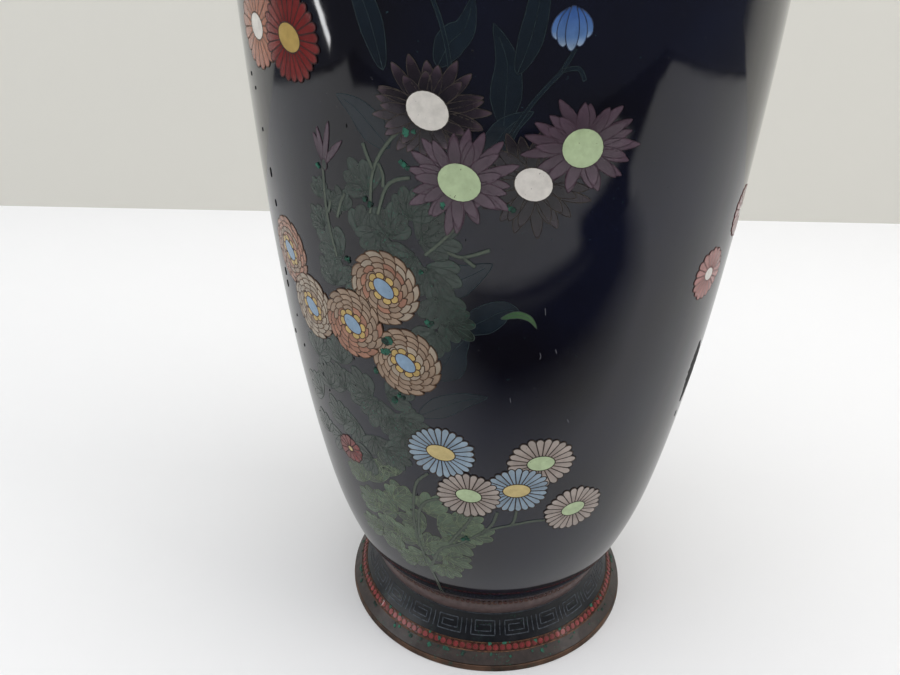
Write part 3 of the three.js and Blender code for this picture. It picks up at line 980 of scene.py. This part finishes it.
# Name, path as azimuths and heights, width; each stands for a CAD node.
LONG_LEAVES = [
    ("long_leaf_low", [(-16.5, 57.6), (-11, 59.8), (-6, 61.4), (-0.9, 62.2)], 3.4),
    ("long_leaf_middle", [(-6.4, 72.4), (-2, 74.2), (1.6, 75.6), (4.6, 75.6)], 4.0),
    ("long_leaf_broad", [(-12.6, 64.6), (-10, 67), (-8, 69.4), (-5, 71.6)], 5.4),
    ("long_leaf_rising", [(-10.4, 76.6), (-7.6, 79.2), (-4.6, 80.4), (-0.8, 82)], 4.2),
    ("long_leaf_tall", [(0.2, 98.6), (0.4, 102), (0.3, 105.4), (-1.9, 109)], 3.4),
    ("long_leaf_upper_left", [(-19.6, 95.4), (-22.8, 97.6), (-26, 99.6), (-29.8, 100.9)], 3.6),
]
# Path, width.
UPPER_BLADES = [
    ([(-3, 93.6), (-0.6, 97), (1.6, 98.8), (4.9, 100.1)], 3.0),
    ([(-10.6, 104.6), (-8.6, 107), (-6.2, 108.6), (-5, 111.6)], 3.2),
    ([(2, 104), (4, 108), (5, 113), (4, 119)], 2.6),
    ([(-20, 104), (-22, 109), (-24.5, 113), (-28, 117)], 3.0),
]
UPPER_STEMS = [
    [(0.4, 96.6), (4, 100.4), (6.6, 102.6), (9, 104.4), (10.8, 106.6)],
    [(9, 104.4), (11.6, 104.6), (12.8, 103.4)],
    [(-9, 96), (-8.4, 103), (-10, 109), (-14, 115), (-15.4, 117)],
]

# Name, enamel and wire, centre, then each leaf: its base as azimuth and height, direction, length.
SPRAYS = [
    ("green_leaf_upper", "leaf", (-29, 82), [
        ((-24.5, 90), 2.2, 4.6), ((-27, 84), 0.9, 4.8), ((-33, 80.5), 2.6, 4.8), ((-35.6, 76), 1.7, 4.4),
        ((-37, 84), 2.3, 3.2), ((-20.5, 84.6), 1.4, 4.4), ((-30.6, 87), 1.9, 2.8), ((-37, 88), 1.4, 2.6),
        ((-14, 84.6), 0.4, 5.4), ((-13, 80.6), -0.9, 5.2), ((-11, 76.6), -1.3, 5), ((-16.4, 87.4), 1.2, 4.2),
        ((-9.6, 73.6), -0.6, 4.2), ((-29, 78), -2.2, 3.6), ((-23, 84.4), -2.0, 4.4), ((-16, 82), -2.4, 4.6),
        ((-34, 87), 0.6, 2.6), ((-12, 71.6), -2.0, 4.0),
    ]),
    ("green_leaf_left", "leaf", (-34, 54), [
        ((-30, 58.6), 2.6, 5.4), ((-27.4, 58), -1.9, 5.6), ((-38, 58.4), 2.4, 5), ((-36, 52), -2.4, 5.2),
        ((-24.6, 55.6), -0.9, 5), ((-21, 56.2), -0.2, 4.4), ((-41, 51), 2.2, 4.8), ((-30, 50.6), -1.4, 5),
        ((-44, 57), 1.9, 5), ((-47, 62), 1.2, 4.6), ((-37.6, 63), 1.8, 4.6), ((-50, 54), 2.6, 4.8),
        ((-24, 60), 0.2, 4.2), ((-21, 53), -1.6, 4.6), ((-33, 46), -2.6, 4.6), ((-27, 49), -0.3, 4.6),
        ((-44, 47), -2.2, 4.6), ((-52, 46), 2.0, 4.4),
    ]),
    ("green_leaf_low_left", "low_leaf", (-26, 36), [
        ((-24, 38.6), 1.9, 5), ((-27.6, 36), 2.9, 5), ((-31, 42), 2.2, 5), ((-25, 45), 2.3, 4.6),
        ((-34, 35), 2.6, 5), ((-28, 31), 3.2, 4.8), ((-22, 30), 2.4, 4.4), ((-38, 40), 2.2, 4.6),
        ((-36, 29), 3.0, 4.4), ((-27, 39), 0.4, 4.4), ((-30, 26), 2.2, 4.0), ((-24, 24), 2.8, 3.8),
    ]),
    ("green_leaf_low_right", "low_leaf", (-12, 31), [
        ((-17, 38.4), 1.0, 4.6), ((-13, 35.4), 0.1, 5.6), ((-11, 33), -0.8, 5.2), ((-15.6, 31), -1.5, 5),
        ((-18.6, 34.6), 2.9, 4.6), ((-8, 36.6), 0.5, 4.4), ((-5.6, 34.6), 0.3, 4.6), ((-12, 27.6), -0.4, 4.6),
        ((-20, 26.6), -2.4, 4.2), ((-14, 25), -1.2, 4.2), ((-18, 30), 0.4, 4.2),
    ]),
]
RIGHT_SPRAY = [
    ((88, 72), 1.2, 4.2), ((92, 62), 2.4, 4.6), ((98, 70), 0.8, 4.6), ((99, 56), -0.2, 5),
    ((93, 50), 2.9, 4.8), ((104, 44), 0.5, 5), ((98, 38), 2.6, 4.8), ((109, 34), 0.2, 4.6),
    ((101, 28), -2.2, 4.4), ((112, 62), 0.9, 4.4),
]
STEMS = [
    [(-15.5, 46.7), (-19, 44.2), (-20.6, 40), (-21.4, 34), (-20, 27), (-17.6, 20.2), (-17, 14.6)],
    [(-9.8, 42), (-13.6, 41.6), (-17.2, 40.2), (-19.4, 37.4), (-20.4, 32)],
    [(2.6, 40.2), (1.4, 37.4), (-1.6, 35.2), (-8, 32), (-14, 29.6), (-18, 24)],
    [(16, 37.9), (11.8, 37.9), (6.3, 37.2), (2, 36.4), (-1.6, 35)],
    [(8, 45.4), (7.4, 38.4), (5.4, 37)],
    [(-4, 39), (-5.6, 37), (-8, 34.6), (-11, 31.6)],
    [(-16.5, 98.1), (-19.4, 96.3), (-22, 94), (-23.6, 91.4), (-24.4, 87)],
    [(-15.9, 92.1), (-18.8, 91.6), (-20.9, 90.3), (-22.8, 87)],
    [(-35, 92.4), (-35.4, 88), (-35.2, 84.2), (-34, 80)],
    [(-7.2, 87.2), (-8.1, 86.1), (-10.6, 84.3), (-13.5, 82.5)],
    [(-9.3, 83.2), (-6.3, 82.7), (-1.4, 83.8)],
    [(-6.3, 82.7), (-4, 81.5)],
    [(-22, 93.4), (-21.2, 92.2), (-21.3, 90.6)],
    [(-24.9, 95.6), (-24.2, 94.2), (-23.2, 92.6)],
    [(-30, 89), (-31.2, 87.8), (-32.6, 85.6)],
    [(-33.9, 87.8), (-34.4, 86.8), (-35, 86)],
    [(80, 82), (86, 72), (92, 56), (98, 36), (102, 16)],
    [(88, 68), (96, 76), (104, 80), (112, 82)],
]


def lobed_leaf(motif, base, angle, size, level):
    """A chrysanthemum leaf: rounded lobes fanned about a middle rib, drawn from the sides inwards."""
    for off in (-1, 1, -0.5, 0.5, 0):
        reach = size * (1 - 0.26 * abs(off)) * rng.uniform(0.9, 1.08)
        aim = angle + LOBE_SPREAD * off
        grid = spike(leaf_lobe, 0, reach, size * 0.21, aim, base, bend=-0.18 * off, steps=11)
        motif.cell(grid, level + (1 - abs(off)) * 0.8 + 0.1 * (off > 0))
        motif.line(grid[:-2, 1], level + 1, LOBE_RIB)


def long_leaf(motif, places, width, level=0.0):
    """A long pointed leaf along a curved midline, with a fine rib."""
    path = motif.place(places, 22)
    half = [max(THIN_END, width / 2 * blade(s)) for s in np.linspace(0, 1, 22)]
    motif.cell(ribbon(path, half, columns=5), level)
    motif.line(path[:-3], level + 0.5, BLADE_RIB)


def stem(motif, places, width, level):
    path = motif.place(places, 6 * len(places))
    motif.cell(ribbon(path, width / 2), level, tone=0.5)


def spray(name, enamel_name, centre, leaves, *nodes):
    motif = Motif(centre, 1)
    for index, (place, angle, size) in enumerate(leaves):
        lobed_leaf(motif, motif.cells.local(*place), angle, size, index * 0.22)
    motif.make(name + "_lobes", [enamel_name], "leaf_enamel", enamel_name + "_wire", *nodes)


def make_leaves():
    for index, (name, places, width) in enumerate(LONG_LEAVES):
        motif = Motif(places[0], index * 0.2)
        long_leaf(motif, places, width)
        motif.make(name + "_cell", ["blade"], "blade_enamel", "blade_wire", name)
    tip = Motif((5, 75), 4)
    long_leaf(tip, [(1.2, 74.5), (4.2, 75.1), (6.8, 74.5), (8.3, 73.1)], 1.0)
    tip.make("long_leaf_bright_tip", ["bright_leaf"], "leaf_enamel", "leaf_wire")
    upper = Motif((0, 97), 1.5)
    for index, (places, width) in enumerate(UPPER_BLADES):
        long_leaf(upper, places, width, index * 0.4)
    for index, places in enumerate(UPPER_STEMS):
        stem(upper, places, 0.4, 2 + index * 0.4)
    upper.make("upper_blades", ["blade"], "blade_enamel", "blade_wire")
    for name, enamel_name, centre, leaves in SPRAYS:
        spray(name, enamel_name, centre, leaves, name)
    spray("right_spray", "leaf", (98, 50), RIGHT_SPRAY)
    stems = Motif((-20, 60), 6.5)
    for index, places in enumerate(STEMS):
        stem(stems, places, 0.42, index * 0.12)
    stems.make("flower_stems", ["stem"], "leaf_enamel", "leaf_wire")


# ---- wear: corroded wire, pits, a chip and scratches ----

# Azimuth, height, half width in millimetres.
CORROSION = [
    (-15.6, 97.4, 0.7), (-10.3, 89.0, 0.5), (2.0, 89.2, 0.5), (-24.8, 88.4, 0.5), (-17.0, 93.4, 0.45),
    (-22.9, 68.9, 1.2), (-23.4, 67.6, 0.8), (-22.4, 59.6, 0.7), (-26.0, 63.4, 0.6), (-36.0, 91.6, 0.4),
    (-20.6, 60.6, 0.4), (-14.0, 80.0, 0.4), (-31.0, 80.0, 0.4), (-13.0, 73.0, 0.5), (-6.0, 33.6, 0.5),
]
# Azimuth, height, half width in millimetres before PIT_SHARE.
PITS = [
    (-61.2, 101.4, 0.5), (-59.3, 99.6, 0.4), (-58.6, 94.2, 0.5), (-57.3, 88.4, 1.1), (-57.4, 83.9, 0.9),
    (-59.7, 72.8, 1.0), (-60.1, 70.7, 1.1), (-45.7, 60.4, 0.5), (-46.8, 58.3, 0.6), (-33.8, 59.6, 0.35),
    (-55.9, 61.0, 0.5), (-63.3, 61.6, 0.8), (-45.3, 55.7, 0.4), (-39.2, 60.1, 0.35), (-57.0, 66.0, 0.4),
    (-20.4, 54.6, 0.3), (-33.0, 64.4, 0.4), (-29.0, 45.0, 0.3), (-14.6, 31.0, 0.3), (-19.2, 41.6, 0.35),
    (-12.0, 78.6, 0.35), (-5.8, 85.0, 0.3), (-28.2, 97.4, 0.35),
]
PIT_SHARE = 0.52
CHIP = [(62.2, 62.8), (63, 60.4), (63.3, 57), (62.8, 54), (61.8, 51.6)]
SCRATCHES = [
    [(9.6, 76), (9.8, 75)], [(9.4, 69.4), (9.7, 68.8), (9.5, 68.4)], [(3.9, 62.2), (4.1, 61.5)],
    [(17.4, 58), (17.8, 57.4)], [(12.6, 69.8), (12.9, 69.2)],
]


def make_wear():
    spots = Relief(body, (-20, 70))
    for azimuth, height, size in CORROSION:
        for _ in range(3):
            beside = spots.local(azimuth + rng.uniform(-0.8, 0.8), height + rng.uniform(-0.5, 0.5))
            patch = blob(size * rng.uniform(0.35, 0.7), 1, beside)
            spots.grid(patch, 0.18 + 0.01 * rng.random(), tone=rng.random())
    spots.make("body_corrosion", [MATERIALS["verdigris"]], "copper")
    foot_spots = Relief(foot_slope, (0, 2.6), even=True)
    for _ in range(110):
        azimuth = rng.uniform(0, 360)
        height = 2.75 + rng.choice((0, 0, 0, 1.4)) - rng.uniform(0, 0.7) ** 2
        patch = blob(rng.uniform(0.1, 0.42), 1, foot_spots.local(azimuth, height))
        foot_spots.grid(patch, 0.1 + 0.01 * rng.random(), tone=rng.random())
    foot_spots.make("foot_corrosion", [MATERIALS["verdigris"]], "copper")
    pits = Relief(body, (-40, 70))
    for azimuth, height, size in PITS:
        pits.grid(blob(size * PIT_SHARE, 0.33, pits.local(azimuth, height)), 0.08, tone=0.2)
    chip = Relief(body, (65, 57))
    path = spline([chip.local(*place) for place in CHIP], 24)
    ragged = [
        0.25 + 1.9 * math.sin(math.pi * s) ** 1.2 * rng.uniform(0.75, 1.2)
        for s in np.linspace(0, 1, 24)
    ]
    chip.grid(ribbon(path, ragged), 0.03, tone=0.1)
    chip.grid(blob(0.5, 0.5, chip.local(61.6, 49.2)), 0.03, tone=0.6)
    scratches = Relief(body, (10, 66))
    for places in SCRATCHES:
        scratches.wire([scratches.local(*place) for place in places], 0.02, 0.06)
    reliefs = {"pits": (pits, "bare"), "chip": (chip, "bare"), "scratches": (scratches, "scratch")}
    for name, (relief, material) in reliefs.items():
        relief.make("body_" + name, [MATERIALS[material]], "ground_enamel")


# ---- camera, floor and light ----

def pointed(item, place, forward, upright):
    """Turns a camera or light to look along forward."""
    side = np.cross(forward, upright)
    side /= np.linalg.norm(side)
    turn = np.eye(4)
    turn[:3, 0], turn[:3, 1], turn[:3, 2] = side, np.cross(side, forward), -np.array(forward)
    turn[:3, 3] = place
    item.matrix_world = Matrix(turn.tolist())


def make_camera():
    """Hand-held above and in front, looking down at the lower body."""
    down, aside, roll = (math.radians(value) for value in (25.78, -3.79, 0.56))
    flat = math.cos(down)
    forward = np.array([math.sin(aside) * flat, math.cos(aside) * flat, -math.sin(down)])
    level = np.array([math.cos(aside), -math.sin(aside), 0])
    upright = math.cos(roll) * np.cross(level, forward) - math.sin(roll) * level
    data = bpy.data.cameras.new("camera")
    data.sensor_width = 36
    data.lens = 29.6
    data.clip_start = 0.005
    camera = add("camera", data)
    pointed(camera, (0, -0.12286, 0.11301), forward, upright)
    bpy.context.scene.camera = camera


def plain(name, shade):
    """Matt on its face and clear from behind, so that it hides the vase from no side."""
    shader = Shader(name, 0.9)
    shader.surface.inputs["Specular IOR Level"].default_value = 0.1
    material = shader.finish(shade)
    blend = shader.tree.nodes.new("ShaderNodeMixShader")
    behind = shader.tree.nodes.new("ShaderNodeNewGeometry").outputs["Backfacing"]
    clear = shader.tree.nodes.new("ShaderNodeBsdfTransparent").outputs["BSDF"]
    for index, value in enumerate((behind, shader.surface.outputs["BSDF"], clear)):
        shader.feed(blend, index, value)
    shader.feed(shader.tree.nodes["Material Output"], "Surface", blend.outputs["Shader"])
    return material


def sheet(name, corners, material, mirrored=True):
    mesh = mesh_of(name, corners, [tuple(range(len(corners)))])
    mesh.materials.append(material)
    plane = add(name, mesh)
    plane.visible_glossy = mirrored


# The bright part of the floor as the vase's polish shows it, in metres, round a dark bay in
# front of the vase that is a painted shadow.
BRIGHT_FLOOR = [
    (-0.42, -0.33), (-0.1, -0.34), (0.3, -0.31), (0.315, -0.25), (0.2, -0.215), (0.13, -0.205),
    (0.115, -0.172), (0.04, -0.168), (-0.03, -0.165), (-0.05, -0.14), (-0.04, -0.11), (0, -0.086),
    (0.1, -0.084), (0.165, -0.092), (0.2, -0.12), (0.225, -0.165), (0.26, -0.2), (0.35, -0.23),
    (0.5, -0.28), (0.68, -0.3), (0.7, 0.34), (-0.62, 0.34), (-0.62, -0.1), (-0.6, -0.2),
    (-0.63, -0.31), (-0.47, -0.26),
]


def depth_inside(x, y, outline):
    """How far the points lie inside the outline; negative outside it."""
    nearest = np.full(x.shape, 9.0)
    inside = np.zeros(x.shape, bool)
    for (ax, ay), (bx, by) in zip(outline, [*outline[1:], outline[0]]):
        run_x, run_y = bx - ax, by - ay
        t = np.clip(((x - ax) * run_x + (y - ay) * run_y) / (run_x**2 + run_y**2), 0, 1)
        nearest = np.minimum(nearest, np.hypot(x - ax - t * run_x, y - ay - t * run_y))
        if run_y:
            inside ^= ((ay > y) != (by > y)) & (x < ax + (y - ay) * run_x / run_y)
    return np.where(inside, nearest, -nearest)


def painted_shadow_card():
    """A card that only the polish sees, in place of the floor: bright at the sides, a painted shadow dark
    before the vase, its edges soft.
    """
    x, y = np.meshgrid(np.linspace(-0.66, 0.74, 150), np.linspace(-0.38, 0.34, 90))
    # bright is painted light and shade: 0 in the painted shadow before the vase, 1 on the lit floor, soft at
    # the shadow's edges.
    soft = np.where(y > -0.16, 0.05, 0.014)
    bright = np.clip(0.5 + depth_inside(x, y, BRIGHT_FLOOR) / soft, 0, 1).ravel()
    points = np.stack([x.ravel(), y.ravel(), np.full(x.size, 0.00005)], 1)
    index = np.arange(x.size).reshape(x.shape)
    faces = np.concatenate([quads(*pair) for pair in zip(index[:-1], index[1:])])[:, ::-1]
    mesh = mesh_of("painted_shadow_card", points.tolist(), faces.tolist())
    # Here tone carries the painted shadow: 0 in the dark bay, 1 on the bright floor.
    mesh.attributes.new("tone", "FLOAT", "POINT").data.foreach_set("value", bright)
    shader = Shader("painted_shadow_cloth", 0.9)
    # The card's grey is painted: black in the painted shadow, pale cloth elsewhere.
    shade = shader.ramp(shader.attribute("tone"), (0, grey(0.0)), (1, grey(0.56)))
    mesh.materials.append(shader.finish(shade))
    card = add("painted_shadow_card", mesh)
    card.visible_camera = card.visible_diffuse = card.visible_shadow = card.visible_transmission = False


def area_light(name, place, size, power, shade=(1, 1, 1), aim=(0, 0, 0.05), upright=(0, 1e-3, 1)):
    data = bpy.data.lights.new(name, "AREA")
    data.shape = "RECTANGLE"
    data.size, data.size_y = size
    data.energy = power
    data.color = shade
    light = add(name, data)
    light.visible_camera = False
    forward = np.array(aim, float) - np.array(place, float)
    pointed(light, place, forward / np.linalg.norm(forward), upright)


def make_studio():
    """A pale floor and wall under soft lights; the polish mirrors a card with a painted shadow instead of the
    floor.
    """
    far, left_back, right_back, high = 1.5, 0.217, 0.307, 1.2
    left, right = (-far, left_back), (far, right_back)
    around = [(-far, -far), (far, -far), right, left]
    cloth = plain("pale_floor", colour(236, 236, 237))
    sheet("floor", [(x, y, 0) for x, y in around], cloth, mirrored=False)
    painted_shadow_card()
    wall = plain("pale_wall", colour(219, 217, 209))
    sheet("backdrop", [(*left, 0), (*right, 0), (*right, high), (*left, high)], wall)
    area_light("overhead", (0.05, -0.15, 0.9), (1.1, 1.1), 9)
    area_light("left_window", (-0.9, -0.3, 0.55), (0.7, 0.5), 2.6, (0.95, 0.98, 1))
    area_light("right_window", (0.9, -0.2, 0.6), (0.6, 0.5), 3.1, (1, 0.98, 0.95))
    gap, mirrored_at = (-0.81, -0.1455, 0.0995), (-0.02, -0.034, 0.108)
    area_light("window_gap", gap, (0.02, 0.3), 0.2, aim=mirrored_at, upright=(-0.2, 0.75, 0.63))
    world = bpy.data.worlds.new("room")
    world.use_nodes = True
    background = world.node_tree.nodes["Background"]
    background.inputs["Color"].default_value = (0.8, 0.85, 1, 1)
    background.inputs["Strength"].default_value = 0.12
    bpy.context.scene.world = world
    bpy.context.scene.view_settings.view_transform = "Standard"


make_copper()
make_linings()
make_grounds()
make_bands()
make_flowers()
make_leaves()
make_wear()
make_camera()
make_studio()
